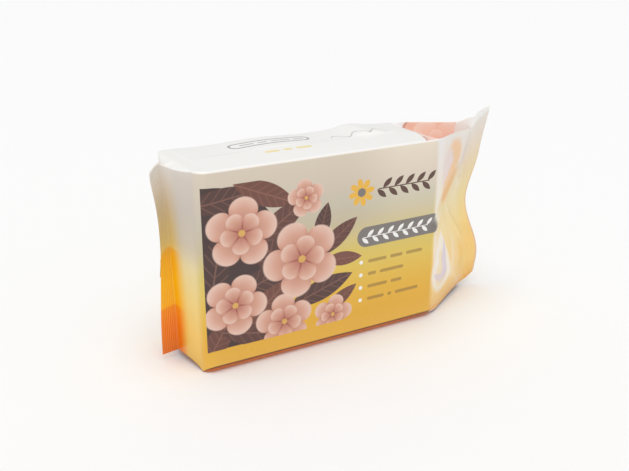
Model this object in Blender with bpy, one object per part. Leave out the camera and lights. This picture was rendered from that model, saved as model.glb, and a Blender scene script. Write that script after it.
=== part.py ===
"""A sealed pack of wet wipes, in metres, +Z up.

A folded stack of wipes fills a tube of printed film. The pack stands on its
long narrow side, with the printed front facing -Y and the pack's length
along X. The origin is the middle of the flat base.

The film is one closed skin, so the pack is one solid. Its two narrow sides
are tucked in at the ends, between the front and back panels, and each end is
crimped flat into a fin. The film is tight round the left end of the stack
and reaches further past the right end, where the fin bows back and the top
corner stands up as an ear.

The skin is a loft between unlike sections: each section is a ring of points
worked out in its own (across, up) plane and then set in place along the pack.
"""

import math

import bmesh
import bpy

# The stack of wipes.
STACK_LENGTH = 0.1485
STACK_DEPTH = 0.0549
STACK_HEIGHT = 0.112
TOP_CROWN = 0.0008  # the film stands up this much along the middle of the top
SIDE_BULGE = 0.0008  # and out this much in the middle of the front and back
TOP_ROUND = 0.0025
BASE_ROUND = 0.0045

# The film past the ends of the stack.
FIN_WIDTH = 0.010
FIN_THICK = 0.0012
FOLD_THICK = 0.0010  # the doubled film beside a tuck
TUCK_START = 0.006  # tuck depth at which a rounded corner has become a fold
POCKET_END = 0.0018  # half the depth of the pack where a tuck meets its fin
POCKET_SLOPE = 7.0  # how steeply the end of a tuck runs up to there

LEFT_ROUND = 0.006
LEFT_FIN_X = -0.0790
LEFT_FIN_LOW, LEFT_FIN_HIGH = 0.0047, 0.1110
LEFT_EAR_DROP = 0.0024  # the fin's outer top corner sits below its inner one
LEFT_WAVE = 0.0040  # the fin's edge leans forward by this at the middle
LEFT_PULL = 0.0030  # and is drawn in by this

RIGHT_FILM = 0.0540  # film from the stack to the right fin
RIGHT_FIN_LOW, RIGHT_FIN_HIGH = 0.0095, 0.1095
RIGHT_EAR_RISE = 0.0100

# How far the right fin bows back, by height up the fin.
RIGHT_BOW = (
    (0.004, 0.0015),
    (0.020, -0.0015),
    (0.038, 0.0032),
    (0.055, 0.0072),
    (0.066, 0.0072),
    (0.080, 0.0035),
    (0.105, 0.0000),
    (0.120, -0.0030),
)

# The long seal down the middle of the back, folded flat.
SEAL_HEIGHT = 0.056
SEAL_WIDTH = 0.012
SEAL_THICK = 0.0008
SEAL_STEP = 0.0003

# Points round one section.
PANEL_SIDE = 6  # up a panel, on each side of the long seal
PANEL_POINTS = 2 * PANEL_SIDE + 2
CORNER_POINTS = 4
TUCK_POINTS = 6

HALF_LENGTH = STACK_LENGTH / 2
HALF_DEPTH = STACK_DEPTH / 2
HALF_FIN = FIN_THICK / 2


def through(points, at):
    """The height at `at` of a smooth curve through the points."""
    at = min(max(at, points[0][0]), points[-1][0])
    slopes = []
    for i in range(len(points)):
        before, after = points[max(i - 1, 0)], points[min(i + 1, len(points) - 1)]
        slopes.append((after[1] - before[1]) / (after[0] - before[0]))
    i = max(k for k in range(len(points) - 1) if points[k][0] <= at)
    (x0, y0), (x1, y1) = points[i], points[i + 1]
    span = x1 - x0
    t = (at - x0) / span
    return (
        (2 * t**3 - 3 * t**2 + 1) * y0
        + (t**3 - 2 * t**2 + t) * span * slopes[i]
        + (3 * t**2 - 2 * t**3) * y1
        + (t**3 - t**2) * span * slopes[i + 1]
    )


def mix(a, b, share):
    return a + (b - a) * share


def spaced(start, end, count):
    return [mix(start, end, i / (count - 1)) for i in range(count)]


def along(corners, share):
    """The point a share of the way along a bent line."""
    if share >= 1:
        return corners[-1]
    lengths = [math.dist(a, b) for a, b in zip(corners, corners[1:])]
    left = share * sum(lengths)
    for a, b, length in zip(corners, corners[1:], lengths):
        if left <= length:
            break
        left -= length
    return tuple(mix(p, q, left / length) for p, q in zip(a, b))


def tucked_side(half, radius, tuck, crown):
    """Half of a narrow side, from the front panel to the middle, as (across, depth).

    Depth is measured from the side's own level into the pack. With no tuck
    the corner is a quarter round. As the tuck deepens the corner becomes a
    tight fold, a wall behind the front panel and a floor across to the middle.
    """
    fold = min(tuck / TUCK_START, 1.0)
    r = mix(radius, FOLD_THICK / 2, fold)
    turn = math.pi / 2 * (1 + fold)
    points = []
    for i in range(CORNER_POINTS):
        a = turn * i / (CORNER_POINTS - 1)
        points.append((r - half - r * math.cos(a), r - r * math.sin(a)))
    end = points[-1]
    if tuck > end[1] + FOLD_THICK:
        bend = [end, (end[0], tuck), (0.0, tuck)]
    else:
        bend = [end, (0.0, tuck)]
    for i in range(1, TUCK_POINTS + 1):
        across, depth = along(bend, i / TUCK_POINTS)
        rise = crown * (1 - (across / half) ** 2)
        points.append((across, depth - rise))
    return points


def pressed_side():
    """The same half where the fin is pressed flat: half of its rounded edge."""
    count = CORNER_POINTS + TUCK_POINTS
    points = []
    for i in range(count):
        a = math.pi / 2 * i / (count - 1)
        points.append((-HALF_FIN * math.cos(a), HALF_FIN - HALF_FIN * math.sin(a)))
    return points


def ring(half, low, high, base_side, top_side):
    """A whole section as (across, up) points: up the front, over and down the back."""
    seal_low, seal_top = SEAL_HEIGHT - SEAL_WIDTH / 2, SEAL_HEIGHT + SEAL_WIDTH / 2
    levels = spaced(low + base_side[0][1], seal_low, PANEL_SIDE)
    levels += [seal_low + SEAL_STEP, seal_top - SEAL_STEP]
    levels += spaced(seal_top, high - top_side[0][1], PANEL_SIDE)
    front = [(-half, z) for z in levels]
    back = [(half, z) for z in reversed(levels)]
    for i in (PANEL_SIDE, PANEL_SIDE + 1):
        back[i] = (half + SEAL_THICK, back[i][1])
    top = [(across, high - depth) for across, depth in top_side[1:]]
    top += [(-across, z) for across, z in reversed(top[:-1])]
    base = [(across, low + depth) for across, depth in base_side[1:]]
    base = [(-across, z) for across, z in base[:-1]] + list(reversed(base))
    return front + top + back + base


def brick_section(x):
    """A section round the stack at x."""
    middle = 1 - (x / HALF_LENGTH) ** 2
    top = tucked_side(HALF_DEPTH, TOP_ROUND, 0.0, TOP_CROWN * middle)
    base = tucked_side(HALF_DEPTH, BASE_ROUND, 0.0, 0.0)
    points = []
    for across, up in ring(HALF_DEPTH, 0.0, STACK_HEIGHT, base, top):
        bulge = SIDE_BULGE * middle * math.sin(math.pi * up / STACK_HEIGHT)
        points.append((x, across * (1 + bulge / HALF_DEPTH), up))
    return points


def flap_section(half, low, high):
    """The (across, up) ring of a section where the narrow sides are tucked in."""
    tuck = min(HALF_DEPTH - half, POCKET_SLOPE * (half - POCKET_END))
    closed = (HALF_DEPTH - half) / (HALF_DEPTH - HALF_FIN)
    top = tucked_side(half, mix(TOP_ROUND, HALF_FIN, closed), tuck, 0.0)
    base = tucked_side(half, mix(BASE_ROUND, HALF_FIN, closed), tuck, 0.0)
    return ring(half, mix(0.0, low, closed), mix(STACK_HEIGHT, high, closed), base, top)


def left_flaps():
    """Sections from the stack's left end to the left fin."""
    corner_x = LEFT_ROUND - HALF_LENGTH
    path = []
    for degrees in (30, 60, 90):
        a = math.radians(degrees)
        path.append(
            (corner_x - LEFT_ROUND * math.sin(a), HALF_DEPTH - LEFT_ROUND * (1 - math.cos(a)))
        )
    start = path[-1]
    for share in spaced(0.2, 0.8, 4) + spaced(0.84, 1.0, 5):
        path.append((mix(start[0], LEFT_FIN_X, share), mix(start[1], POCKET_END, share)))
    for x, half in path:
        section = flap_section(half, LEFT_FIN_LOW, LEFT_FIN_HIGH)
        yield [(x, across, up) for across, up in section]


def fin_section(low, high):
    return ring(HALF_FIN, low, high, pressed_side(), pressed_side())


def left_fin():
    """Sections of the left fin, from its inner line to the cut edge."""
    for out in (0.0, 0.5, 1.0):
        points = []
        high = LEFT_FIN_HIGH - LEFT_EAR_DROP * out
        for across, up in fin_section(LEFT_FIN_LOW, high):
            wave = math.sin(math.pi * min(max(up / STACK_HEIGHT, 0.0), 1.0)) ** 2
            x = LEFT_FIN_X - FOLD_THICK - (FIN_WIDTH - LEFT_PULL * wave) * out
            points.append((x, across - LEFT_WAVE * wave * out, up))
        yield points


def right_fin_line(up):
    """Where the right fin's inner line stands at a height, as (x, y)."""
    bow = through(RIGHT_BOW, up)
    return HALF_LENGTH + math.sqrt(RIGHT_FILM**2 - (HALF_DEPTH + bow) ** 2), bow


def right_flaps():
    """Sections from the stack's right end to the right fin."""
    for share in spaced(0.12, 0.84, 7) + spaced(0.88, 1.0, 5):
        half = mix(HALF_DEPTH, POCKET_END, share)
        points = []
        for across, up in flap_section(half, RIGHT_FIN_LOW, RIGHT_FIN_HIGH):
            x, y = right_fin_line(up)
            points.append((mix(HALF_LENGTH, x, share), mix(0.0, y, share) + across, up))
        yield points


def right_fin():
    """Sections of the right fin, from its inner line to the cut edge."""
    for out in (0.0, 0.35, 0.7, 1.0):
        points = []
        high = RIGHT_FIN_HIGH + RIGHT_EAR_RISE * out**1.5
        for across, up in fin_section(RIGHT_FIN_LOW, high):
            x, y = right_fin_line(up)
            points.append((x + FOLD_THICK + FIN_WIDTH * out, y + across, up))
        yield points


def loft(sections):
    """A closed skin over the sections, with both ends capped."""
    mesh = bmesh.new()
    rings = [[mesh.verts.new(point) for point in section] for section in sections]
    count = len(rings[0])
    for one, other in zip(rings, rings[1:]):
        for i in range(count):
            j = (i + 1) % count
            mesh.faces.new((one[i], one[j], other[j], other[i]))
    side = 2 * (CORNER_POINTS + TUCK_POINTS) - 3
    back = PANEL_POINTS + side
    for verts in (rings[0], rings[-1]):
        for i in range(PANEL_POINTS - 1):
            j = back + PANEL_POINTS - 1 - i
            mesh.faces.new((verts[i], verts[i + 1], verts[j - 1], verts[j]))
        mesh.faces.new(verts[PANEL_POINTS - 1 : back + 1])
        mesh.faces.new(verts[back + PANEL_POINTS - 1 :] + verts[:1])
    bmesh.ops.recalc_face_normals(mesh, faces=mesh.faces)
    return mesh


def film_material():
    """Glossy printed film, white at the top and golden towards the base."""
    material = bpy.data.materials.new("printed_film")
    material.use_nodes = True
    surface = material.node_tree.nodes["Principled BSDF"]
    surface.inputs["Base Color"].default_value = (0.80, 0.60, 0.26, 1.0)
    surface.inputs["Roughness"].default_value = 0.35
    surface.inputs["Metallic"].default_value = 0.0
    return material


def build():
    for old in list(bpy.data.objects):
        bpy.data.objects.remove(old)
    first = LEFT_ROUND - HALF_LENGTH
    brick = [brick_section(x) for x in spaced(first, HALF_LENGTH, 7)]
    left = list(left_flaps()) + list(left_fin())
    sections = left[::-1] + brick + list(right_flaps()) + list(right_fin())
    skin = loft(sections)
    data = bpy.data.meshes.new("wipes_pack")
    skin.to_mesh(data)
    skin.free()
    data.materials.append(film_material())
    data.shade_smooth()
    data.set_sharp_from_angle(angle=math.radians(35))
    pack = bpy.data.objects.new("wipes_pack", data)
    group = bpy.data.collections.new("wet_wipes_pack")
    bpy.context.scene.collection.children.link(group)
    group.objects.link(pack)


build()
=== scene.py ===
"""The looks of a sealed pack of wet wipes: printed flow-wrap film round a folded stack."""

import math

import bpy
import numpy as np
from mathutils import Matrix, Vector


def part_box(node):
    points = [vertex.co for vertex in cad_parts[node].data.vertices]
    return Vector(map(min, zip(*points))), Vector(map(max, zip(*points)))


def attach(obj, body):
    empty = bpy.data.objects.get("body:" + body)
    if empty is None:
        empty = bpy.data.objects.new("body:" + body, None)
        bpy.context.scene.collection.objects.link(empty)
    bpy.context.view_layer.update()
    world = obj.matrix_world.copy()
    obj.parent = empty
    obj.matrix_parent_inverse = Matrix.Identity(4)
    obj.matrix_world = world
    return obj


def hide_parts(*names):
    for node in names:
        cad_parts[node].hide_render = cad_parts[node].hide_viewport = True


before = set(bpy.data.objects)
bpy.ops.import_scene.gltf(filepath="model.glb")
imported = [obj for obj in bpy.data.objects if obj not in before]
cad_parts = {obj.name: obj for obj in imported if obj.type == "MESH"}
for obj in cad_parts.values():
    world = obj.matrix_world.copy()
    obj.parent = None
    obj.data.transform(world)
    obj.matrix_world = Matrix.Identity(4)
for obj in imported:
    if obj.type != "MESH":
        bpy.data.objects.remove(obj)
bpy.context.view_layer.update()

# ---------------------------------------------------------------- film wrap
# One web of printed film is drawn round the stack as a tube. Its narrow
# sides are tucked in past each end of the stack, where hot jaws press it into
# a ribbed fin. It is tight at the left and has spare length at the right.

WRAP = "wipes_pack"
MM = 0.001
low_corner, high_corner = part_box(WRAP)

STACK_LENGTH, STACK_DEPTH, STACK_HEIGHT = 0.1485, 0.0549, 0.112
END_X, HALF_DEPTH = STACK_LENGTH / 2, STACK_DEPTH / 2
FIN_WIDTH = 0.010
HALF_FIN = 0.00028
FIN_GAP = 0.0004  # from the end of the flaps to the start of a fin
FOLD_THICK = 0.0005  # two layers of film lying on each other
TUCK_START = 0.005  # tuck depth at which a rounded corner has become a fold
POCKET_END = 0.0011  # half the pack's depth where a tuck meets its fin
POCKET_SLOPE = 9.0  # how steeply the end of a tuck runs up to there

# The left end is tight. Heights are of the fin's foot and of its inner top
# corner, on the front and on the back film. The outer ones sit lower.
LEFT_FIN_X = low_corner[0] + FIN_WIDTH + 0.0009
LEFT_ROUND = 0.0065
LEFT_FOOT, LEFT_FOOT_FALL = 0.0048, 0.0011
LEFT_TOPS, LEFT_TOP_FALLS = (0.1120, 0.1128), (0.0044, 0.0046)
LEFT_TUCK = 0.0016
LEFT_SLACK = 0.25

# The right end is loose. Its front edge sags, and its back edge rises to the ear.
RIGHT_FILM = 0.054
RIGHT_FOOT, RIGHT_FOOT_RISE = 0.003, 0.0052
RIGHT_SAG, RIGHT_LIFT = 0.0038, 0.0038
RIGHT_TOPS = (0.1082, 0.1158)
EAR_TOPS = (high_corner[2], high_corner[2] + 0.0022)

# The middle of the stack swells by these, and the film's slack stands in a
# ripple at one place on the back of its top edge.
TOP_SWELL, SIDE_SWELL = 0.0007, 0.0009
RIPPLE_HEIGHT, RIPPLE_X, RIPPLE_REACH = 0.0016, 0.046, 0.009

# How many sections the mesh has along each stretch.
FIN_SECTIONS, CORNER_SECTIONS, LEFT_FLAP_SECTIONS = 42, 12, 34
STACK_SECTIONS, RIGHT_FLAP_SECTIONS = 128, 84

# Points round one section of the web. Those up a panel crowd to its edges.
EDGE_SHARES = (0.0, 0.0015, 0.0045, 0.011)
PANEL_SHARES = np.concatenate(
    [EDGE_SHARES, np.linspace(0.022, 0.978, 76), [1 - share for share in EDGE_SHARES[::-1]]]
)
PANEL_POINTS = len(PANEL_SHARES)
CORNER_POINTS = 7
TUCK_POINTS = 24

# The long edges, as width, height and roundness: 2 is a quarter of an ellipse.
BASE_EDGE = (0.0030, 0.0040, 1.25)
TOP_EDGE = (0.0016, 0.0016, 2.0)


def mix(a, b, share):
    """The value this share of the way from a to b."""
    return a + (b - a) * share


def ease(low, high, value):
    """Rises smoothly from 0 to 1 as the value goes from low to high."""
    t = np.clip((value - low) / (high - low), 0.0, 1.0)
    return t * t * (3 - 2 * t)


def through(points, at):
    """A smooth curve through the points, read at each value of `at`."""
    xs, ys = np.array(points, float).T
    slopes = np.gradient(ys, xs)
    at = np.clip(at, xs[0], xs[-1])
    i = np.clip(np.searchsorted(xs, at, side="right") - 1, 0, len(xs) - 2)
    span = xs[i + 1] - xs[i]
    t = (at - xs[i]) / span
    return (
        (2 * t**3 - 3 * t**2 + 1) * ys[i]
        + (t**3 - 2 * t**2 + t) * span * slopes[i]
        + (3 * t**2 - 2 * t**3) * ys[i + 1]
        + (t**3 - t**2) * span * slopes[i + 1]
    )


def bent_line(corners, shares):
    """Points at these shares of the way along a line with corners."""
    corners = np.array(corners, float)
    steps = np.linalg.norm(np.diff(corners, axis=0), axis=1)
    run = np.concatenate([[0.0], np.cumsum(steps)]) / max(steps.sum(), 1e-9)
    return np.stack([np.interp(shares, run, corners[:, k]) for k in (0, 1)], 1)


def tucked_side(half, edge, tuck, crown=0.0):
    """Half of a narrow side as (across, depth), from the wall to the middle."""
    width, height, roundness = edge
    turn = np.linspace(0.0, math.pi, CORNER_POINTS)
    rounded = 1 - np.stack([np.cos(turn / 2), np.sin(turn / 2)], 1).clip(0, 1) ** (2 / roundness)
    rounded *= (min(width, half * 0.9), height)
    folded = FOLD_THICK / 2 * (1 - np.stack([np.cos(turn), np.sin(turn)], 1))
    corner = mix(rounded, folded, min(tuck / TUCK_START, 1.0)) - (half, 0.0)
    end = corner[-1]
    bend = [end, (0.0, tuck)]
    if tuck > end[1] + FOLD_THICK:
        bend = [end, (end[0], tuck), (0.0, tuck)]
    rest = bent_line(bend, np.linspace(0.0, 1.0, TUCK_POINTS + 1)[1:])
    rest[:, 1] -= crown * (1 - (rest[:, 0] / half) ** 2)
    return np.concatenate([corner, rest])


def pressed_side():
    """The same half on a fin: half of its rounded edge."""
    turn = np.linspace(0.0, math.pi / 2, CORNER_POINTS + TUCK_POINTS)
    return np.stack([-HALF_FIN * np.cos(turn), HALF_FIN - HALF_FIN * np.sin(turn)], 1)


def ring(halves, low, highs, bases, tops):
    """A section as rows of (across, up), from pairs for the front and back: up the
    front, over, down the back and under."""
    walls, overs, unders = [], [], []
    for side, half, high, base, top in zip((1, -1), halves, highs, bases, tops):
        up = mix(low + base[0, 1], high - top[0, 1], PANEL_SHARES)
        walls.append(np.stack([np.full(PANEL_POINTS, -half * side), up], 1))
        overs.append(np.stack([top[1:, 0] * side, high - top[1:, 1]], 1))
        unders.append(np.stack([base[1:, 0] * side, low + base[1:, 1]], 1))
    overs[0][-1, 1] = (overs[0][-1, 1] + overs[1][-1, 1]) / 2
    return np.concatenate(
        [walls[0], overs[0], overs[1][-2::-1], walls[1][::-1], unders[1], unders[0][-2::-1]]
    )


def web_height():
    """The print's upright coordinate at each point of a ring, and one past its end."""
    side = np.linspace(0.0, HALF_DEPTH, CORNER_POINTS + TUCK_POINTS)[1:]
    top = STACK_HEIGHT + np.concatenate([side, 2 * HALF_DEPTH - side[-2::-1]])
    back = STACK_HEIGHT * (2 - PANEL_SHARES[::-1]) + 2 * HALF_DEPTH
    under = back[-1] + np.concatenate([side, 2 * HALF_DEPTH - side[-2::-1]])
    full_turn = back[-1] + 2 * HALF_DEPTH
    return np.concatenate([STACK_HEIGHT * PANEL_SHARES, top, back, under, [full_turn]])


# The right fin bows back by this much, by height up it.
RIGHT_BOW = (
    (0.002, 0.0020),
    (0.012, 0.0004),
    (0.021, -0.0018),
    (0.032, -0.0004),
    (0.043, 0.0042),
    (0.053, 0.0072),
    (0.063, 0.0078),
    (0.073, 0.0055),
    (0.085, 0.0028),
    (0.100, 0.0008),
    (0.120, -0.0025),
)
# The left fin's cut edge leans forward and is drawn in by these, by height up
# it, and its inner line stands out by the last.
LEFT_LEAN = (
    (0.0, 0.0),
    (0.022, 0.0002),
    (0.045, 0.0016),
    (0.066, 0.0034),
    (0.086, 0.0038),
    (0.104, 0.001),
)
LEFT_PULL = (
    (0.0, 0.0008),
    (0.022, 0.0012),
    (0.045, 0.0020),
    (0.066, 0.0026),
    (0.086, 0.0020),
    (0.104, 0.0004),
)
LEFT_FLARE = ((0.0, 0.0002), (0.030, 0.0003), (0.066, 0.0013), (0.090, 0.0026), (0.112, 0.0039))


def right_fin_line(up):
    """Where the right fin starts along the pack at each height, and how far it bows back."""
    bow = through(RIGHT_BOW, up)
    return END_X + np.sqrt(RIGHT_FILM**2 - (HALF_DEPTH + bow) ** 2), bow


stations, web_along, pressed, slack, ribs = [], [], [], [], []


def station(points, along, press=0.0, loose=0.0, rib=0.0):
    """Adds a section: its points, its place along the web, how far it is pressed flat,
    how slack its film is, and its distance across the ribs of a fin."""
    stations.append(points)
    web_along.append(along)
    pressed.append(press)
    slack.append(loose)
    ribs.append(rib)


# The path that the front film takes round the left corner and in to the fin.
# The back film turns more sharply.
corner_start = LEFT_ROUND - END_X
turn = np.linspace(0.0, math.pi / 2, CORNER_SECTIONS)[1:]
arc = np.stack(
    [corner_start - LEFT_ROUND * np.sin(turn), HALF_DEPTH - LEFT_ROUND * (1 - np.cos(turn))], 1
)
flat_shares = np.linspace(0.0, 1.0, LEFT_FLAP_SECTIONS)[1:, None]
flat = mix(arc[-1], np.array([LEFT_FIN_X, POCKET_END]), flat_shares)
left_path = np.concatenate([arc, flat])
left_steps = np.linalg.norm(np.diff(left_path, axis=0), axis=1)
left_run = LEFT_ROUND * turn[0] + np.concatenate([[0.0], np.cumsum(left_steps)])
back_turn_x = (LEFT_FIN_X, -0.0005 - END_X, 0.0009 - END_X)
back_turn_half = (POCKET_END, HALF_DEPTH - 0.0014, HALF_DEPTH)
pressed_sides = (pressed_side(), pressed_side())

# Left fin, from its cut edge in.
for out in np.linspace(1.0, 0.0, FIN_SECTIONS):
    highs = (LEFT_TOPS[0] - LEFT_TOP_FALLS[0] * out**2, LEFT_TOPS[1] - LEFT_TOP_FALLS[1] * out**1.6)
    low = LEFT_FOOT - LEFT_FOOT_FALL * out
    across, up = ring((HALF_FIN, HALF_FIN), low, highs, pressed_sides, pressed_sides).T
    lean = through(LEFT_LEAN, up) * out**1.4
    x = LEFT_FIN_X - FIN_GAP - FIN_WIDTH * out + through(LEFT_PULL, up) * out
    station(
        np.stack([x - through(LEFT_FLARE, up) * (1 - out), across - lean, up], 1),
        along=corner_start - left_run[-1] - FIN_WIDTH * out,
        press=float(ease(0.0, 0.12, out)),
        rib=FIN_WIDTH * (1 - out),
    )

# Left flaps, from the fin round the corner of the stack. Their top is hardly
# tucked in, and their base is tucked in all the way.
for (x, front_half), run in zip(left_path[::-1], left_run[::-1]):
    back_half = np.interp(x, back_turn_x, back_turn_half)
    halves = (front_half, back_half)
    pinch = POCKET_SLOPE * (front_half - POCKET_END)
    out = float(np.clip((-END_X - x) / (-END_X - LEFT_FIN_X), 0, 1))
    top = [tucked_side(half, TOP_EDGE, min(LEFT_TUCK * out, pinch)) for half in halves]
    base = [tucked_side(half, BASE_EDGE, min(HALF_DEPTH - front_half, pinch)) for half in halves]
    rise = LEFT_TOPS[1] - STACK_HEIGHT
    highs = (STACK_HEIGHT - rise * math.sin(math.pi * out), STACK_HEIGHT + rise * out**2)
    across, up = ring(halves, LEFT_FOOT * out**0.5, highs, base, top).T
    station(
        np.stack([x - through(LEFT_FLARE, up) * out, across, up], 1),
        along=corner_start - run,
        loose=LEFT_SLACK * float(ease(0.0, 0.2, out)),
    )

# The stack. The back of its top edge rises a little where the film is slack.
for x in np.linspace(corner_start, END_X, STACK_SECTIONS):
    middle = 1 - (x / END_X) ** 2
    top = tucked_side(HALF_DEPTH, TOP_EDGE, 0.0, TOP_SWELL * middle)
    base = tucked_side(HALF_DEPTH, BASE_EDGE, 0.0)
    ripple = RIPPLE_HEIGHT * math.exp(-(((x - RIPPLE_X) / RIPPLE_REACH) ** 2))
    highs = (STACK_HEIGHT, STACK_HEIGHT + ripple - 0.0005 * math.sin(x * 95))
    across, up = ring((HALF_DEPTH, HALF_DEPTH), 0.0, highs, (base, base), (top, top)).T
    bulge = SIDE_SWELL * middle * np.sin(math.pi * np.clip(up / STACK_HEIGHT, 0, 1))
    station(
        np.stack([np.full(len(up), x), across * (1 + bulge / HALF_DEPTH), up], 1),
        along=x,
        loose=0.5 * float(ease(0.5 * END_X, END_X, x)),
    )

# Right flaps, from the stack out to the fin. They thin out to the fin's own
# thickness at their end.
for share in np.linspace(0.0, 1.0, RIGHT_FLAP_SECTIONS)[1:]:
    half = mix(HALF_DEPTH, POCKET_END, share)
    tuck = min(HALF_DEPTH - half, POCKET_SLOPE * (half - POCKET_END))
    half -= (POCKET_END - HALF_FIN) * float(ease(0.93, 1.0, share))
    top, base = tucked_side(half, TOP_EDGE, tuck), tucked_side(half, BASE_EDGE, tuck)
    lift = RIGHT_LIFT * float(ease(0.8, 1.0, share))
    highs = (STACK_HEIGHT - RIGHT_SAG * share**2, STACK_HEIGHT + lift)
    across, up = ring((half, half), RIGHT_FOOT * share, highs, (base, base), (top, top)).T
    x, y = right_fin_line(up)
    station(
        np.stack([mix(END_X, x, share), mix(0.0, y, share) + across, up], 1),
        along=END_X + RIGHT_FILM * share,
        loose=0.5 + 0.5 * math.sin(math.pi * share),
    )

# Right fin, out to its cut edge.
for out in np.linspace(0.0, 1.0, FIN_SECTIONS):
    highs = (mix(RIGHT_TOPS[0], EAR_TOPS[0], out**0.6), mix(RIGHT_TOPS[1], EAR_TOPS[1], out**0.5))
    low = RIGHT_FOOT + RIGHT_FOOT_RISE * out**1.6
    across, up = ring((HALF_FIN, HALF_FIN), low, highs, pressed_sides, pressed_sides).T
    x, y = right_fin_line(up)
    station(
        np.stack([x + FIN_GAP + FIN_WIDTH * out, y + across, up], 1),
        along=END_X + RIGHT_FILM + FIN_WIDTH * out,
        press=float(ease(0.0, 0.12, out)),
        rib=FIN_WIDTH * out,
    )

grid = np.array(stations)
NS, NR = grid.shape[:2]
web_u, web_v = np.array(web_along), web_height()


def relaxed(points, weight, rounds):
    """The grid with its creases eased, as film that has some stiffness."""
    for _ in range(rounds):
        near = (np.roll(points, 1, axis=1) + np.roll(points, -1, axis=1)) / 2
        next_to = points.copy()
        next_to[1:-1] = (points[:-2] + points[2:]) / 2
        points = points + weight[:, :, None] * ((near + next_to) / 2 - points)
    return points


def film_normals(points):
    """Outward directions on a grid whose rings close on themselves."""
    along = np.gradient(points, axis=0)
    around = np.roll(points, -1, axis=1) - np.roll(points, 1, axis=1)
    normal = np.cross(along, around)
    return normal / np.maximum(np.linalg.norm(normal, axis=2, keepdims=True), 1e-12)


loose = np.array(slack)[:, None] * np.ones((1, NR))
grid = relaxed(grid, np.minimum(loose * 1.2, 0.8), 14)

# The film eases into the lower part of the right fin, with no sharp line.
BORDER_REACH = 0.009
SOFT_BELOW, SHARP_ABOVE = 0.066, 0.094
past_border = (web_u[:, None] - END_X - RIGHT_FILM) / BORDER_REACH
soft_border = np.exp(-(past_border**2)) * (1 - ease(SOFT_BELOW, SHARP_ABOVE, grid[:, :, 2]))
grid[:, :, :2] = relaxed(grid, 0.9 * soft_border, 200)[:, :, :2]


def fold(start, end, reach, width, height):
    """A fold standing out of the front film between two (u, v) points, with a hollow
    beside it. All in mm."""
    start, end = np.array(start) * MM, np.array(end) * MM
    u = web_u[:, None] - start[0]
    v = web_v[None, :-1] - start[1]
    line = end - start
    length = np.hypot(*line)
    run = (u * line[0] + v * line[1]) / length
    off = (v * line[0] - u * line[1]) / length / (width * MM)
    past_end = np.maximum(np.abs(run - length / 2) - length / 2, 0) / (reach * MM)
    fade = np.exp(-(past_end**2))
    return height * MM * fade * (np.exp(-(off**2)) - 0.5 * np.exp(-((off - 1.6) ** 2)))


folds = (
    fold((77, 57), (116, 86), 5, 2.4, 1.3)
    + fold((84, 30), (112, 12), 8, 4.0, 0.7)
    + fold((98, 96), (124, 76), 8, 3.0, 0.8)
    + fold((112, 56), (126, 38), 7, 3.0, 0.9)
)
grid = grid + film_normals(grid) * folds[:, :, None]


def grid_mesh(name, points, web_u, web_v, facing):
    """A closed mesh over rings of points, capped at both ends, with the web as its UV map.
    Across a cap, two points of a ring face each other when their numbers add up to `facing`."""
    rows, count = points.shape[:2]
    index = np.arange(rows * count).reshape(rows, count)
    beside = np.roll(index, -1, axis=1)
    faces = np.stack([index[:-1], index[1:], beside[1:], beside[:-1]], 2).reshape(-1, 4).tolist()
    u = np.stack([web_u[:-1], web_u[1:], web_u[1:], web_u[:-1]], 1)[:, None, :]
    v = np.stack([web_v[:-1], web_v[:-1], web_v[1:], web_v[1:]], 1)[None, :, :]
    uv = np.stack(np.broadcast_arrays(u, v), 3).reshape(-1, 2).tolist()
    for row, edge, backwards in ((index[0], web_u[0], False), (index[-1], web_u[-1], True)):
        for number in range(count // 2):
            i = (facing // 2 + count // 2 + number) % count
            j = (i + 1) % count
            face = [row[i], row[j], row[(facing - j) % count], row[(facing - i) % count]]
            face = [int(p) for k, p in enumerate(face) if p not in face[:k]]
            if len(face) < 3:
                continue
            faces.append(face[::-1] if backwards else face)
            uv += [(edge, web_v[i])] * len(face)
    data = bpy.data.meshes.new(name)
    data.from_pydata(points.reshape(-1, 3).tolist(), [], faces)
    layer = data.uv_layers.new(name="web")
    layer.data.foreach_set("uv", np.array(uv, np.float32).ravel())
    return data


def point_values(data, name, values):
    """Stores a number at each point, or a vector."""
    values = np.asarray(values, np.float32)
    kind, key = ("FLOAT_VECTOR", "vector") if values.shape[-1] == 3 else ("FLOAT", "value")
    layer = data.attributes.new(name, kind, "POINT")
    layer.data.foreach_set(key, values.ravel())


def link(tree, value, socket):
    """Joins a socket to another, or sets it to a plain value."""
    if isinstance(value, bpy.types.NodeSocket):
        tree.links.new(value, socket)
    else:
        socket.default_value = value


def add(tree, kind, inputs=None, **settings):
    """A new node, with its settings and what goes into its sockets."""
    made = tree.nodes.new(kind)
    for key, value in settings.items():
        setattr(made, key, value)
    for key, value in (inputs or {}).items():
        link(tree, value, made.inputs[key])
    return made


def calc(tree, operation, *values, clamp=False):
    """What a maths node makes of the values."""
    made = add(tree, "ShaderNodeMath", operation=operation, use_clamp=clamp)
    for socket, value in zip(made.inputs, values):
        link(tree, value, socket)
    return made.outputs[0]


def scaled(tree, vector, amount):
    """A vector times a number."""
    made = add(tree, "ShaderNodeVectorMath", {"Vector": vector}, operation="SCALE")
    link(tree, amount, made.inputs["Scale"])
    return made.outputs[0]


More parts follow.
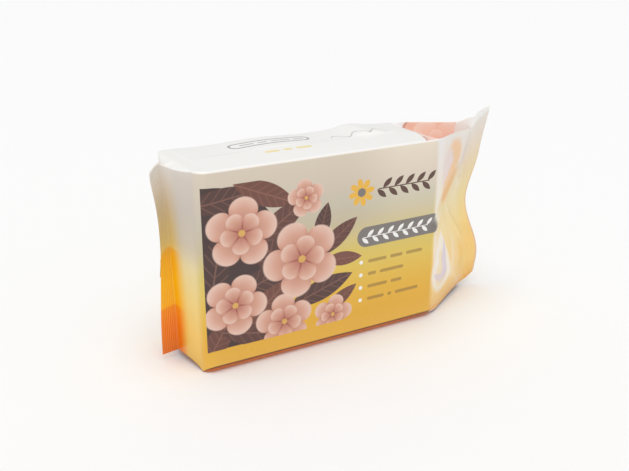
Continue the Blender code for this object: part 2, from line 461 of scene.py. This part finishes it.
def film_tree():
    """Geometry Nodes that press ribs into the fins and crumple the slack film."""
    tree = bpy.data.node_groups.new("press_and_crumple", "GeometryNodeTree")
    side = tree.interface
    side.new_socket("Geometry", in_out="INPUT", socket_type="NodeSocketGeometry")
    for name in ("Rib Pitch", "Rib Depth", "Crumple Size", "Crumple Depth"):
        side.new_socket(name, in_out="INPUT", socket_type="NodeSocketFloat")
    side.new_socket("Seed", in_out="INPUT", socket_type="NodeSocketInt")
    side.new_socket("Film", in_out="INPUT", socket_type="NodeSocketMaterial")
    side.new_socket("Geometry", in_out="OUTPUT", socket_type="NodeSocketGeometry")
    given = tree.nodes.new("NodeGroupInput").outputs

    def read(name, kind="FLOAT"):
        made = add(tree, "GeometryNodeInputNamedAttribute", data_type=kind)
        made.inputs["Name"].default_value = name
        return made.outputs["Attribute"]

    # Ribs run up the fin, and both its faces move together.
    turn = calc(tree, "DIVIDE", read("rib_run"), given["Rib Pitch"])
    wave = calc(tree, "SINE", calc(tree, "MULTIPLY", turn, 2 * math.pi))
    height = calc(tree, "MULTIPLY", calc(tree, "MULTIPLY", wave, given["Rib Depth"]), read("pressed"))
    ribbed = add(
        tree,
        "GeometryNodeSetPosition",
        {"Geometry": given["Geometry"], "Offset": scaled(tree, (0.0, 1.0, 0.0), height)},
    )
    # Slack film is crumpled along one axis, so that layers folded together stay apart.
    seed = calc(tree, "MULTIPLY", given["Seed"], 3.7)
    noise = add(
        tree,
        "ShaderNodeTexNoise",
        {"W": seed, "Scale": calc(tree, "DIVIDE", 1.0, given["Crumple Size"]), "Detail": 2.0},
        noise_dimensions="4D",
    )
    rough = calc(tree, "SUBTRACT", noise.outputs[0], 0.5)
    depth = calc(tree, "MULTIPLY", rough, given["Crumple Depth"])
    crumpled = add(
        tree,
        "GeometryNodeSetPosition",
        {"Geometry": ribbed.outputs[0], "Offset": scaled(tree, read("slack", "FLOAT_VECTOR"), depth)},
    )
    real = add(tree, "GeometryNodeRealizeInstances", {"Geometry": crumpled.outputs[0]})
    film = add(tree, "GeometryNodeSetMaterial", {"Geometry": real.outputs[0], "Material": given["Film"]})
    tree.links.new(film.outputs[0], tree.nodes.new("NodeGroupOutput").inputs[0])
    return tree


def made_by_nodes(name, data, tree, **values):
    """A plain mesh piece: the data as the node tree leaves it."""
    cage = bpy.data.objects.new(name + "_cage", data)
    bpy.context.scene.collection.objects.link(cage)
    modifier = cage.modifiers.new("made", "NODES")
    modifier.node_group = tree
    for item in tree.interface.items_tree:
        if item.in_out == "INPUT" and item.name.replace(" ", "_").lower() in values:
            modifier[item.identifier] = values[item.name.replace(" ", "_").lower()]
    shown = cage.evaluated_get(bpy.context.evaluated_depsgraph_get())
    plain = bpy.data.meshes.new_from_object(shown)
    bpy.data.objects.remove(cage)
    plain.name = name
    plain.shade_smooth()
    piece = bpy.data.objects.new(name, plain)
    bpy.context.scene.collection.objects.link(piece)
    return piece


def rgb(red, green, blue):
    """A linear colour from one given in 0 to 255."""
    made = []
    for part in (red, green, blue):
        part /= 255
        made.append(part / 12.92 if part <= 0.04045 else ((part + 0.055) / 1.055) ** 2.4)
    return (*made, 1.0)


def over(tree, colour, mask, ink):
    """Prints an ink over a colour where the mask is one."""
    made = add(tree, "ShaderNodeMix", data_type="RGBA")
    link(tree, mask, made.inputs["Factor"])
    link(tree, colour, made.inputs["A"])
    link(tree, ink, made.inputs["B"])
    return made.outputs["Result"]


def ramp(tree, value, low, high, stops):
    """A colour that changes with a value, by (value, colour) stops."""
    share = add(tree, "ShaderNodeMapRange", {"Value": value, "From Min": low, "From Max": high})
    made = add(tree, "ShaderNodeValToRGB", {"Fac": share.outputs["Result"]})
    band = made.color_ramp
    while len(band.elements) > 1:
        band.elements.remove(band.elements[-1])
    for k, (at, colour) in enumerate(stops):
        at = (at - low) / (high - low)
        element = band.elements[0] if k == 0 else band.elements.new(at)
        element.position = at
        element.color = colour
    return made.outputs["Color"]


def step(tree, value, low, high):
    """Rises smoothly from 0 to 1 as the value goes from low to high."""
    made = add(
        tree,
        "ShaderNodeMapRange",
        {"Value": value, "From Min": low, "From Max": high},
        interpolation_type="SMOOTHSTEP",
    )
    return made.outputs["Result"]


def motif_group(name, inputs, outputs):
    """An empty node group for a motif, with what it is given and what it puts out."""
    tree = bpy.data.node_groups.new(name, "ShaderNodeTree")
    for key, kind in inputs:
        tree.interface.new_socket(key, in_out="INPUT", socket_type=kind)
    for key in outputs:
        tree.interface.new_socket(key, in_out="OUTPUT", socket_type="NodeSocketFloat")
    return tree, tree.nodes.new("NodeGroupInput").outputs, tree.nodes.new("NodeGroupOutput").inputs


def leaf_group():
    """A leaf from -1 to 1 along X, with a midrib and side veins."""
    tree, given, out = motif_group("leaf", [("Place", "NodeSocketVector")], ["Mask", "Vein"])
    place = add(tree, "ShaderNodeSeparateXYZ", {"Vector": given["Place"]})
    x, y = place.outputs["X"], calc(tree, "ABSOLUTE", place.outputs["Y"])
    lens = calc(tree, "SUBTRACT", calc(tree, "SUBTRACT", 1.0, calc(tree, "MULTIPLY", x, x)), y)
    link(tree, calc(tree, "MULTIPLY", lens, 18.0, clamp=True), out["Mask"])
    rib = calc(tree, "SUBTRACT", 1.0, calc(tree, "DIVIDE", y, 0.09), clamp=True)
    side = calc(tree, "PINGPONG", calc(tree, "SUBTRACT", x, calc(tree, "MULTIPLY", y, 0.35)), 0.13)
    side = calc(tree, "SUBTRACT", 1.0, calc(tree, "DIVIDE", side, 0.035), clamp=True)
    vein = calc(tree, "MAXIMUM", rib, calc(tree, "MULTIPLY", side, 0.6))
    link(tree, vein, out["Vein"])
    return tree


def blossom_group():
    """A flower of radius 1: its outline, its tone from the heart out, and its heart."""
    inputs = [
        ("Place", "NodeSocketVector"),
        ("Half Petals", "NodeSocketFloat"),
        ("Waist", "NodeSocketFloat"),
    ]
    tree, given, out = motif_group("blossom", inputs, ["Mask", "Tone", "Heart"])
    place = add(tree, "ShaderNodeSeparateXYZ", {"Vector": given["Place"]})
    angle = calc(tree, "ARCTAN2", place.outputs["Y"], place.outputs["X"])
    out_from = add(tree, "ShaderNodeVectorMath", {"Vector": given["Place"]}, operation="LENGTH")
    radius = out_from.outputs["Value"]
    petal = calc(tree, "ABSOLUTE", calc(tree, "COSINE", calc(tree, "MULTIPLY", angle, given["Half Petals"])))
    past_waist = calc(tree, "SUBTRACT", 1.0, given["Waist"])
    swell = calc(tree, "MULTIPLY", calc(tree, "POWER", petal, 0.55), past_waist)
    rim = calc(tree, "ADD", given["Waist"], swell)
    link(tree, calc(tree, "MULTIPLY", calc(tree, "SUBTRACT", rim, radius), 24.0, clamp=True), out["Mask"])
    groove = calc(tree, "POWER", calc(tree, "SUBTRACT", 1.0, petal), 3.0)
    tone = calc(tree, "SUBTRACT", calc(tree, "DIVIDE", radius, rim), calc(tree, "MULTIPLY", groove, 0.55))
    link(tree, calc(tree, "MULTIPLY", tone, 1.0, clamp=True), out["Tone"])
    link(tree, calc(tree, "MULTIPLY", calc(tree, "SUBTRACT", 0.17, radius), 30.0, clamp=True), out["Heart"])
    return tree


def drop_group():
    """A drop from -1 to 1 along X, wide near -1, with how far inside it a point is."""
    tree, given, out = motif_group("drop", [("Place", "NodeSocketVector")], ["Inside"])
    place = add(tree, "ShaderNodeSeparateXYZ", {"Vector": given["Place"]})
    x = place.outputs["X"]
    wide = calc(tree, "MULTIPLY_ADD", x, -0.42, 0.68)
    y = calc(tree, "DIVIDE", place.outputs["Y"], wide)
    away = calc(tree, "SQRT", calc(tree, "ADD", calc(tree, "MULTIPLY", x, x), calc(tree, "MULTIPLY", y, y)))
    link(tree, calc(tree, "SUBTRACT", 1.0, away), out["Inside"])
    return tree


def placed(tree, web, x, up, turn, length, width):
    """The web's coordinates as seen from a motif at (x, up), in its own size. All in
    mm and degrees."""
    made = add(
        tree,
        "ShaderNodeMapping",
        {
            "Vector": web,
            "Location": (x * MM, up * MM, 0.0),
            "Rotation": (0.0, 0.0, math.radians(turn)),
            "Scale": (length * MM, width * MM, 1.0),
        },
        vector_type="TEXTURE",
    )
    return made.outputs["Vector"]


def use(tree, group, **inputs):
    """The outputs of a node group, given its inputs by name."""
    made = add(tree, "ShaderNodeGroup", node_tree=group)
    for key, value in inputs.items():
        link(tree, value, made.inputs[key.replace("_", " ").title()])
    return made.outputs


def capsule(tree, u, v, x, up, half, thick):
    """How far inside a round-ended bar a point is, in metres. The bar is in mm."""
    past = calc(tree, "ABSOLUTE", calc(tree, "SUBTRACT", u, x * MM))
    past = calc(tree, "MAXIMUM", calc(tree, "SUBTRACT", past, half * MM), 0.0)
    rise = calc(tree, "SUBTRACT", v, up * MM)
    squares = calc(tree, "ADD", calc(tree, "MULTIPLY", past, past), calc(tree, "MULTIPLY", rise, rise))
    return calc(tree, "SUBTRACT", thick * MM, calc(tree, "SQRT", squares))


def crisp(tree, inside):
    """A mask with a print's sharp edge, from a distance inside."""
    return calc(tree, "MULTIPLY", inside, 6000.0, clamp=True)


WHITE = rgb(250, 249, 246)
GREY_INK = rgb(128, 121, 116)
BROWN_INK = rgb(92, 62, 50)

# The ground colours of the print, with some painted light and shade, by
# height up a panel in mm. They differ on the panels, on the flaps at either
# end, and on the left fin, where the bare film has nothing white behind it
# and is doubled by the tucks below a fold. The paler flaps are partly
# painted sheen, and the underside darkens to a line of painted shade along
# the base.
# The underside darkens towards its front edge as painted shade.
UNDERSIDE_AND_SHADE = [
    (-27.4, (214, 132, 44)),
    (-6.0, (240, 138, 16)),
    (-2.6, (218, 112, 2)),
    (-1.2, (140, 62, 2)),
    (-0.2, (66, 28, 6)),
]
PANEL_GROUND_AND_SHADE = UNDERSIDE_AND_SHADE + [
    (0.1, (238, 186, 70)),
    (12, (234, 178, 50)),
    (25, (234, 183, 54)),
    (36, (233, 192, 74)),
    (44, (230, 198, 88)),
    (54, (222, 198, 104)),
    (63, (218, 199, 136)),
    (74, (215, 203, 170)),
    (83, (215, 207, 186)),
    (95, (228, 214, 196)),
    (108, (236, 222, 202)),
    (113.6, (238, 226, 208)),
    (114.8, (250, 249, 246)),
]
# The left flaps are paler than the panel partly as painted sheen, over the same painted shade along the
# base.
LEFT_GROUND_SHADE_AND_SHEEN = UNDERSIDE_AND_SHADE + [
    (0.1, (233, 189, 79)),
    (17, (248, 202, 92)),
    (38, (245, 214, 124)),
    (56, (236, 217, 156)),
    (74, (220, 208, 188)),
    (92, (216, 206, 196)),
    (108, (228, 218, 208)),
    (113.0, (236, 228, 220)),
    (114.4, (250, 249, 246)),
]
# The loose film at the right is paler than the panel partly as painted sheen.
RIGHT_GROUND_AND_SHEEN = [
    (-27.4, (226, 160, 84)),
    (-4.0, (214, 140, 66)),
    (-0.3, (206, 128, 58)),
    (0.1, (238, 172, 84)),
    (4, (246, 196, 108)),
    (14, (250, 212, 128)),
    (28, (253, 212, 130)),
    (45, (253, 224, 150)),
    (62, (246, 226, 168)),
    (85, (240, 222, 190)),
    (100, (238, 226, 212)),
    (112, (238, 232, 224)),
    (114.4, (250, 249, 246)),
]
FIN_GROUND = [
    (0.1, (232, 116, 2)),
    (18, (246, 130, 2)),
    (28.2, (250, 150, 4)),
    (29.6, (255, 184, 6)),
    (45, (255, 192, 8)),
    (63.5, (250, 186, 34)),
    (65.5, (246, 214, 116)),
    (78, (242, 212, 138)),
    (90, (234, 210, 168)),
    (104, (240, 226, 208)),
    (112, (244, 238, 230)),
]


def ground(tree, height, stops):
    """A ground colour, by stops of (mm, colour) up a panel."""
    stops = [(at * MM, rgb(*colour)) for at, colour in stops]
    return ramp(tree, height, stops[0][0], stops[-1][0], stops)


def times(tree, *masks):
    """The masks multiplied together."""
    made = masks[0]
    for mask in masks[1:]:
        made = calc(tree, "MULTIPLY", made, mask)
    return made


# Posy on the left of the front: flowers (x, up, radius, turn) and
# leaves (x, up, turn, half length, half width, tone), in mm.
FLOWERS = [
    (-13, 91, 11.5, 25),
    (-51, 77, 21, 12),
    (-16, 55, 24, 40),
    (4, 15, 13, 5),
    (-56, 35, 19, -8),
    (-27, 18, 18, 22),
]
LEAVES = [
    (-66, 60, 80, 24, 8, 0.0),
    (-35, 62, 118, 30, 9, 0.2),
    (-62, 97, 8, 22, 7, 0.1),
    (-37, 97, -24, 20, 7, 0.5),
    (-28, 80, 35, 20, 7, 0.3),
    (-66, 16, 60, 16, 7, 0.4),
    (-40, 46, 20, 20, 8, 0.1),
    (-44, 15, -14, 22, 8, 0.2),
    (-38, 32, 40, 20, 7, 0.5),
    (-4, 33, 18, 22, 7, 0.1),
    (6, 64, 38, 17, 5.5, 0.3),
    (10, 50, -4, 13, 4.5, 0.6),
    (-3, 74, 74, 13, 5, 0.1),
    (8, 24, 34, 14, 4.5, 0.5),
]
PETAL_TONES = (
    (0.0, (164, 84, 72)),
    (0.3, (198, 132, 112)),
    (0.7, (221, 168, 146)),
    (1.0, (238, 204, 188)),
)
TOP_PETAL_TONES = ((0.0, (240, 168, 138)), (0.5, (252, 214, 196)), (1.0, (255, 232, 220)))


def bloom(tree, colour, blossom, web, inside, x, up, radius, turn, tones=PETAL_TONES, heart=True):
    """Prints a double flower over a colour."""
    for part, spin in ((1.0, 0.0), (0.6, 36.0)):
        spot = placed(tree, web, x, up, turn + spin, radius * part, radius * part)
        made = use(tree, blossom, place=spot, half_petals=2.5, waist=0.62)
        tinted = ramp(tree, made["Tone"], 0.0, 1.0, [(at, rgb(*tone)) for at, tone in tones])
        colour = over(tree, colour, times(tree, made["Mask"], inside), tinted)
    if heart:
        colour = over(tree, colour, times(tree, made["Heart"], inside), rgb(224, 176, 92))
    return colour


def sprig(tree, leaf, u, v, x, up, pairs, pitch, size):
    """A stem with leaves in turn to either side, as a mask. Each side's leaves
    repeat one leaf in a cell that is two pitches long."""
    half = pitch * (pairs - 0.5)
    mask = crisp(tree, capsule(tree, u, v, x + half, up, half, size * 0.1))
    rise = calc(tree, "SUBTRACT", v, up * MM)
    for side, start in ((-1, x), (1, x + pitch)):
        start -= 0.35 * size
        past = calc(tree, "SUBTRACT", u, start * MM)
        cell = calc(tree, "WRAP", past, 2 * pitch * MM, 0.0)
        cell = add(tree, "ShaderNodeCombineXYZ", {"X": cell, "Y": rise}).outputs["Vector"]
        spot = placed(tree, cell, 0.8 * size, 0.72 * size * side, 42 * side, size, size * 0.4)
        left = calc(tree, "SUBTRACT", 2 * pitch * pairs * MM, past)
        row = times(tree, use(tree, leaf, place=spot)["Mask"], crisp(tree, past), crisp(tree, left))
        mask = calc(tree, "MAXIMUM", mask, row)
    return mask


def row_of_bars(tree, u, v, x, up, lengths, thick, gap):
    """Rounded bars in a row, as a mask."""
    mask = 0.0
    for length in lengths:
        bar = capsule(tree, u, v, x + length / 2, up, length / 2 - thick, thick)
        mask = calc(tree, "MAXIMUM", mask, bar)
        x += length + gap
    return crisp(tree, mask)


def film_print(tree):
    """The print on the web, as a colour. u runs along the pack and v round it."""
    web = add(tree, "ShaderNodeUVMap", uv_map="web").outputs["UV"]
    place = add(tree, "ShaderNodeSeparateXYZ", {"Vector": web})
    u, v = place.outputs["X"], place.outputs["Y"]
    ridge = STACK_HEIGHT + HALF_DEPTH
    height = calc(tree, "SUBTRACT", ridge, calc(tree, "ABSOLUTE", calc(tree, "SUBTRACT", v, ridge)))
    height = calc(tree, "MAXIMUM", height, calc(tree, "SUBTRACT", v, 2 * ridge + STACK_DEPTH))
    colour = ground(tree, height, PANEL_GROUND_AND_SHADE)
    colour = over(tree, colour, step(tree, u, -0.0735, -0.0800), ground(tree, height, LEFT_GROUND_SHADE_AND_SHEEN))
    colour = over(tree, colour, step(tree, u, -0.0880, -0.0972), ground(tree, height, FIN_GROUND))
    colour = over(tree, colour, step(tree, u, 0.0722, 0.0772), ground(tree, height, RIGHT_GROUND_AND_SHEEN))

    # The upper left of the front is painted a little darker, as shade.
    dusk = times(
        tree,
        step(tree, u, 0.054, 0.010),
        step(tree, v, 0.058, 0.072),
        step(tree, v, 0.1135, 0.1130),
    )
    colour = over(tree, colour, calc(tree, "MULTIPLY", dusk, 0.32), rgb(178, 165, 146))

    leaf, blossom = leaf_group(), blossom_group()
    # The posy is cropped by a frame on its left, top and bottom.
    frame_edges = (
        calc(tree, "SUBTRACT", u, -72.6 * MM),
        calc(tree, "SUBTRACT", v, 9.6 * MM),
        calc(tree, "SUBTRACT", 105.2 * MM, v),
    )
    inside = times(tree, *(crisp(tree, edge) for edge in frame_edges))
    shade = crisp(tree, capsule(tree, u, v, -72.0, 62.0, 2.0, 43.0))
    shade = calc(tree, "MAXIMUM", shade, crisp(tree, capsule(tree, u, v, -76.0, 34.0, 30.0, 24.0)))
    colour = over(tree, colour, times(tree, shade, inside), rgb(66, 44, 42))
    for x, up, turn, half, width, tone in LEAVES:
        made = use(tree, leaf, place=placed(tree, web, x, up, turn, half, width))
        ink = tuple(mix(a, b, tone) for a, b in zip(rgb(72, 46, 43), rgb(142, 84, 66)))
        veined = over(tree, ink, calc(tree, "MULTIPLY", made["Vein"], 0.45), rgb(176, 122, 100))
        colour = over(tree, colour, times(tree, made["Mask"], inside), veined)
    for x, up, radius, turn in FLOWERS:
        colour = bloom(tree, colour, blossom, web, inside, x, up, radius, turn)

    # A daisy and a sprig stand at the head of the panel.
    spot = placed(tree, web, 22.0, 88.5, 10, 8.6, 8.6)
    made = use(tree, blossom, place=spot, half_petals=4.0, waist=0.34)
    colour = over(tree, colour, made["Mask"], rgb(240, 186, 66))
    colour = over(tree, colour, crisp(tree, capsule(tree, u, v, 22.0, 88.5, 0.0, 2.7)), GREY_INK)
    colour = over(tree, colour, sprig(tree, leaf, u, v, 33.5, 89.0, 5, 3.9, 4.2), BROWN_INK)

    # More painted sheen: a pale stripe down the film past the stack's right end.
    stripe = times(
        tree,
        step(tree, u, 0.0745, 0.0760),
        step(tree, u, 0.0880, 0.0800),
        step(tree, v, 0.012, 0.030),
    )
    colour = over(tree, colour, calc(tree, "MULTIPLY", stripe, 0.42), rgb(250, 246, 250))

    # A band with a sprig on it has four rows of marks below, each with a spot.
    band = crisp(tree, capsule(tree, u, v, 49.3, 60.4, 23.5, 6.4))
    colour = over(tree, colour, times(tree, band, step(tree, u, 0.0812, 0.0752)), GREY_INK)
    colour = over(tree, colour, sprig(tree, leaf, u, v, 23.5, 60.2, 7, 3.5, 3.0), WHITE)
    rows = ((13.0, 9.0, 12.0), (6.0, 17.0), (14.0, 8.0), (12.0, 3.0, 17.0))
    for row, lengths in enumerate(rows):
        up = 44.6 - 8.3 * row
        colour = over(tree, colour, crisp(tree, capsule(tree, u, v, 22.4, up, 0.0, 1.3)), WHITE)
        marks = row_of_bars(tree, u, v, 27.0, up, lengths, 1.15, 2.4)
        colour = over(tree, colour, calc(tree, "MULTIPLY", marks, 0.58), rgb(132, 98, 52))

    # Painted sheen: soft drops of paler and deeper colour where the loose film
    # catches the light. The cut edge is paler low down.
    drop = drop_group()
    for x, up, turn, half, width, soft, ink, part in (
        (99, 88, 248, 24, 19, 0.30, rgb(246, 192, 128), 0.85),
        (91, 92, 246, 15, 12, 0.45, rgb(236, 216, 212), 0.95),
        (121, 96, 80, 15, 5, 0.60, rgb(216, 206, 214), 0.55),
        (89, 31, 86, 22, 20, 0.22, rgb(252, 246, 236), 0.80),
        (88, 27, 84, 14, 11, 0.30, rgb(248, 226, 178), 0.85),
        (93, 31, 76, 17, 7, 0.45, rgb(226, 210, 222), 0.95),
        (83, 22, 160, 8, 5, 0.60, rgb(226, 210, 222), 0.80),
        (108, 30, 74, 21, 6, 0.60, rgb(252, 240, 214), 0.35),
    ):
        made = use(tree, drop, place=placed(tree, web, x, up, turn, half, width))
        mask = step(tree, made["Inside"], 0.0, soft)
        colour = over(tree, colour, calc(tree, "MULTIPLY", mask, part), ink)
    edge = step(tree, u, 0.1366, 0.1378)
    colour = over(tree, colour, times(tree, edge, step(tree, v, 0.085, 0.055)), rgb(240, 200, 158))

    # The top has a patch with flowers at its right end, and repeats the band and
    # the marks faintly.
    top = STACK_HEIGHT / MM
    past_slope = calc(tree, "SUBTRACT", u, calc(tree, "MULTIPLY_ADD", v, 0.44, (64.0 - 0.44 * top) * MM))
    edges = (
        calc(tree, "SUBTRACT", v, (top + 4.0) * MM),
        calc(tree, "SUBTRACT", (top + 53.0) * MM, v),
        calc(tree, "SUBTRACT", 118.0 * MM, u),
        past_slope,
    )
    inside = times(tree, *(crisp(tree, edge) for edge in edges))
    colour = over(tree, colour, inside, rgb(250, 206, 186))
    rim = times(tree, inside, step(tree, past_slope, 2.6 * MM, 1.2 * MM))
    colour = over(tree, colour, calc(tree, "MULTIPLY", rim, 0.55), rgb(196, 128, 112))
    for x, up, radius, turn in ((84.0, top + 16.0, 17.0, 20), (106.0, top + 34.0, 20.0, 50)):
        flower = (x, up, radius, turn, TOP_PETAL_TONES)
        colour = bloom(tree, colour, blossom, web, inside, *flower, heart=False)
    shell = calc(tree, "ABSOLUTE", capsule(tree, u, v, -14.5, top + 38.0, 20.5, 3.9))
    outline = crisp(tree, calc(tree, "SUBTRACT", 0.75 * MM, shell))
    colour = over(tree, colour, outline, rgb(160, 158, 156))
    marks = row_of_bars(tree, u, v, -33.0, top + 38.0, (9, 6, 12, 7), 0.8, 2.2)
    colour = over(tree, colour, marks, rgb(178, 176, 174))
    marks = row_of_bars(tree, u, v, -27.0, top + 21.0, (9, 5.5, 10), 1.6, 2.2)
    colour = over(tree, colour, marks, rgb(250, 230, 160))
    wave = calc(tree, "SINE", calc(tree, "MULTIPLY", u, 2 * math.pi / (14 * MM)))
    wave = calc(tree, "ADD", calc(tree, "MULTIPLY", wave, 2.6 * MM), v)
    wavy_line = crisp(tree, capsule(tree, u, wave, 40.0, top + 31.0, 18.0, 0.6))
    return over(tree, colour, wavy_line, rgb(200, 198, 196))


def film_material():
    """Glossy printed film. The gloss varies a little, and its face is finely uneven."""
    material = bpy.data.materials.new("printed_film")
    material.use_nodes = True
    tree = material.node_tree
    surface = tree.nodes["Principled BSDF"]
    link(tree, film_print(tree), surface.inputs["Base Color"])
    where = tree.nodes.new("ShaderNodeTexCoord").outputs["Object"]
    cloudy = add(tree, "ShaderNodeTexNoise", {"Vector": where, "Scale": 60.0, "Detail": 3.0})
    dull = add(
        tree, "ShaderNodeMapRange", {"Value": cloudy.outputs[0], "To Min": 0.24, "To Max": 0.38}
    )
    link(tree, dull.outputs["Result"], surface.inputs["Roughness"])
    surface.inputs["Coat Weight"].default_value = 0.25
    surface.inputs["Coat Roughness"].default_value = 0.12
    surface.inputs["IOR"].default_value = 1.5
    fine = add(
        tree,
        "ShaderNodeTexNoise",
        {"Vector": where, "Scale": 420.0, "Detail": 4.0, "Roughness": 0.6},
    )
    broad = add(
        tree,
        "ShaderNodeTexNoise",
        {"Vector": where, "Scale": 45.0, "Detail": 2.0, "Distortion": 0.6},
    )
    height = calc(tree, "ADD", calc(tree, "MULTIPLY", broad.outputs[0], 3.0), fine.outputs[0])
    bump = add(tree, "ShaderNodeBump", {"Height": height, "Distance": 0.00008, "Strength": 0.6})
    link(tree, bump.outputs["Normal"], surface.inputs["Normal"])
    return material


printed_film = film_material()
middle_top = PANEL_POINTS + CORNER_POINTS + TUCK_POINTS - 2
data = grid_mesh("film_wrap", grid, web_u, web_v, 2 * middle_top)
ones = np.ones((1, NR))
point_values(data, "pressed", np.array(pressed)[:, None] * ones)
sway = np.where(web_u[:, None, None] < 0, np.array((1.0, 0.0, 0.0)), np.array((0.0, 1.0, 0.0)))
point_values(data, "slack", loose[:, :, None] * sway)
point_values(data, "rib_run", np.array(ribs)[:, None] * ones)
press_and_crumple = film_tree()
film_wrap = made_by_nodes(
    "film_wrap",
    data,
    press_and_crumple,
    rib_pitch=0.00125,
    rib_depth=0.00011,
    crumple_size=0.022,
    crumple_depth=0.0016,
    seed=4,
    film=printed_film,
)
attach(film_wrap, "root")
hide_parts(WRAP)

# ---------------------------------------------------------------- back seal
# The web's two long edges are welded face to face down the middle of the
# back. The seam is a doubled strip of film, ribbed lengthwise by the sealing
# wheels, folded down flat and caught in both end fins.

SEAL_ROOT, SEAL_WIDTH = 0.0620, 0.0120  # its height up the back, and how far down it reaches
SEAL_ROLL = 0.0013  # how much of it rolls over at its root
SEAL_LIFT, SEAL_THICK = 0.0008, 0.0005
SEAL_SUNK = 0.0001  # how far its inner face may go into the back film
SEAL_POINTS = 40

skin = np.empty(3 * len(film_wrap.data.vertices), np.float32)
film_wrap.data.vertices.foreach_get("co", skin)
skin = skin.reshape(-1, 3)[: NS * NR].reshape(NS, NR, 3)
back_start = PANEL_POINTS + 2 * (CORNER_POINTS + TUCK_POINTS - 1) - 1
back_skin = skin[:, back_start : back_start + PANEL_POINTS][:, ::-1]
back_normals = film_normals(skin)[:, back_start : back_start + PANEL_POINTS][:, ::-1]

# One section of the strip: down its outer face, and back up the inner one.
down = np.linspace(0.0, SEAL_WIDTH, SEAL_POINTS)
rolled = np.sqrt(1 - (1 - np.minimum(down / SEAL_ROLL, 1.0)) ** 2)
free = down / SEAL_WIDTH
down = np.concatenate([down, down[::-1]])
column = np.interp((SEAL_ROOT - down) / STACK_HEIGHT, PANEL_SHARES, np.arange(PANEL_POINTS))
below = column.astype(int)
part = (column - below)[None, :, None]
seal_points = mix(back_skin[:, below], back_skin[:, below + 1], part)
seal_normals = mix(back_normals[:, below], back_normals[:, below + 1], part)

# Its free edge lifts a little here and there, and it is pressed flat in the fins.
wave = 0.0004 * (1 + np.sin(web_u * 97 + 1.0)) + 0.0003 * (1 + np.sin(web_u * 41))
flat = 1 - 0.75 * np.array(pressed)
outer = rolled * SEAL_LIFT + (free**2) * wave[:, None]
inner = np.maximum(outer - SEAL_THICK, -SEAL_SUNK)
lift = np.concatenate([outer, inner[:, ::-1]], axis=1) * flat[:, None]
seal_points = seal_points + seal_normals * lift[:, :, None]

seal_v = web_v[-1] - 2 * HALF_DEPTH - SEAL_ROOT + down
data = grid_mesh("back_seal", seal_points, web_u, np.append(seal_v, seal_v[0]), len(down) - 1)
across = np.broadcast_to(down, seal_points.shape[:2])
point_values(data, "pressed", np.ones(across.shape))
point_values(data, "rib_run", across)
back_seal = made_by_nodes(
    "back_seal",
    data,
    press_and_crumple,
    rib_pitch=0.0012,
    rib_depth=0.00009,
    crumple_size=0.022,
    crumple_depth=0.0,
    seed=4,
    film=printed_film,
)
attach(back_seal, "root")

# ---------------------------------------------------------------- studio
# A pale table under an even white sky, with a large soft lamp above and a
# weaker one from the front and left.

TABLE_SIZE, TABLE_TONE, TABLE_ROUGHNESS = 60.0, 0.97, 0.9
SKY_STRENGTH = 0.62

bpy.ops.mesh.primitive_plane_add(size=TABLE_SIZE)
table = bpy.context.object
table.name = "table_top"
pale = bpy.data.materials.new("pale_table")
pale.use_nodes = True
table_face = pale.node_tree.nodes["Principled BSDF"]
table_face.inputs["Base Color"].default_value = (TABLE_TONE, TABLE_TONE, TABLE_TONE, 1.0)
table_face.inputs["Roughness"].default_value = TABLE_ROUGHNESS
table.data.materials.append(pale)

world = bpy.data.worlds.new("studio")
world.use_nodes = True
sky = world.node_tree.nodes["Background"]
sky.inputs["Color"].default_value = (1.0, 1.0, 1.0, 1.0)
sky.inputs["Strength"].default_value = SKY_STRENGTH
bpy.context.scene.world = world


def soft_sun(name, aim, angle, strength):
    """Even light from a wide soft source, shining along `aim`."""
    lamp = bpy.data.lights.new(name, "SUN")
    lamp.angle = math.radians(angle)
    lamp.energy = strength
    holder = bpy.data.objects.new(name, lamp)
    holder.rotation_euler = Vector(aim).to_track_quat("-Z", "Y").to_euler()
    bpy.context.scene.collection.objects.link(holder)


soft_sun("over_lamp", aim=(0.15, 0.10, -1.0), angle=50.0, strength=1.15)
soft_sun("front_lamp", aim=(0.55, 0.75, -0.35), angle=40.0, strength=0.25)

LOOK_AT = Vector((0.0078, 0.0, 0.0565))
AZIMUTH, ELEVATION, DISTANCE = math.radians(-29.53), math.radians(20.09), 0.4741
SENSOR_MM, LENS_MM = 36.0, 46.32
back = Vector(
    (
        math.sin(AZIMUTH) * math.cos(ELEVATION),
        -math.cos(AZIMUTH) * math.cos(ELEVATION),
        math.sin(ELEVATION),
    )
)
camera = bpy.data.objects.new("camera", bpy.data.cameras.new("camera"))
camera.data.sensor_width = SENSOR_MM
camera.data.lens = LENS_MM
camera.location = LOOK_AT + back * DISTANCE
camera.rotation_euler = (-back).to_track_quat("-Z", "Y").to_euler()
bpy.context.scene.collection.objects.link(camera)
bpy.context.scene.camera = camera
bpy.context.scene.view_settings.view_transform = "Standard"
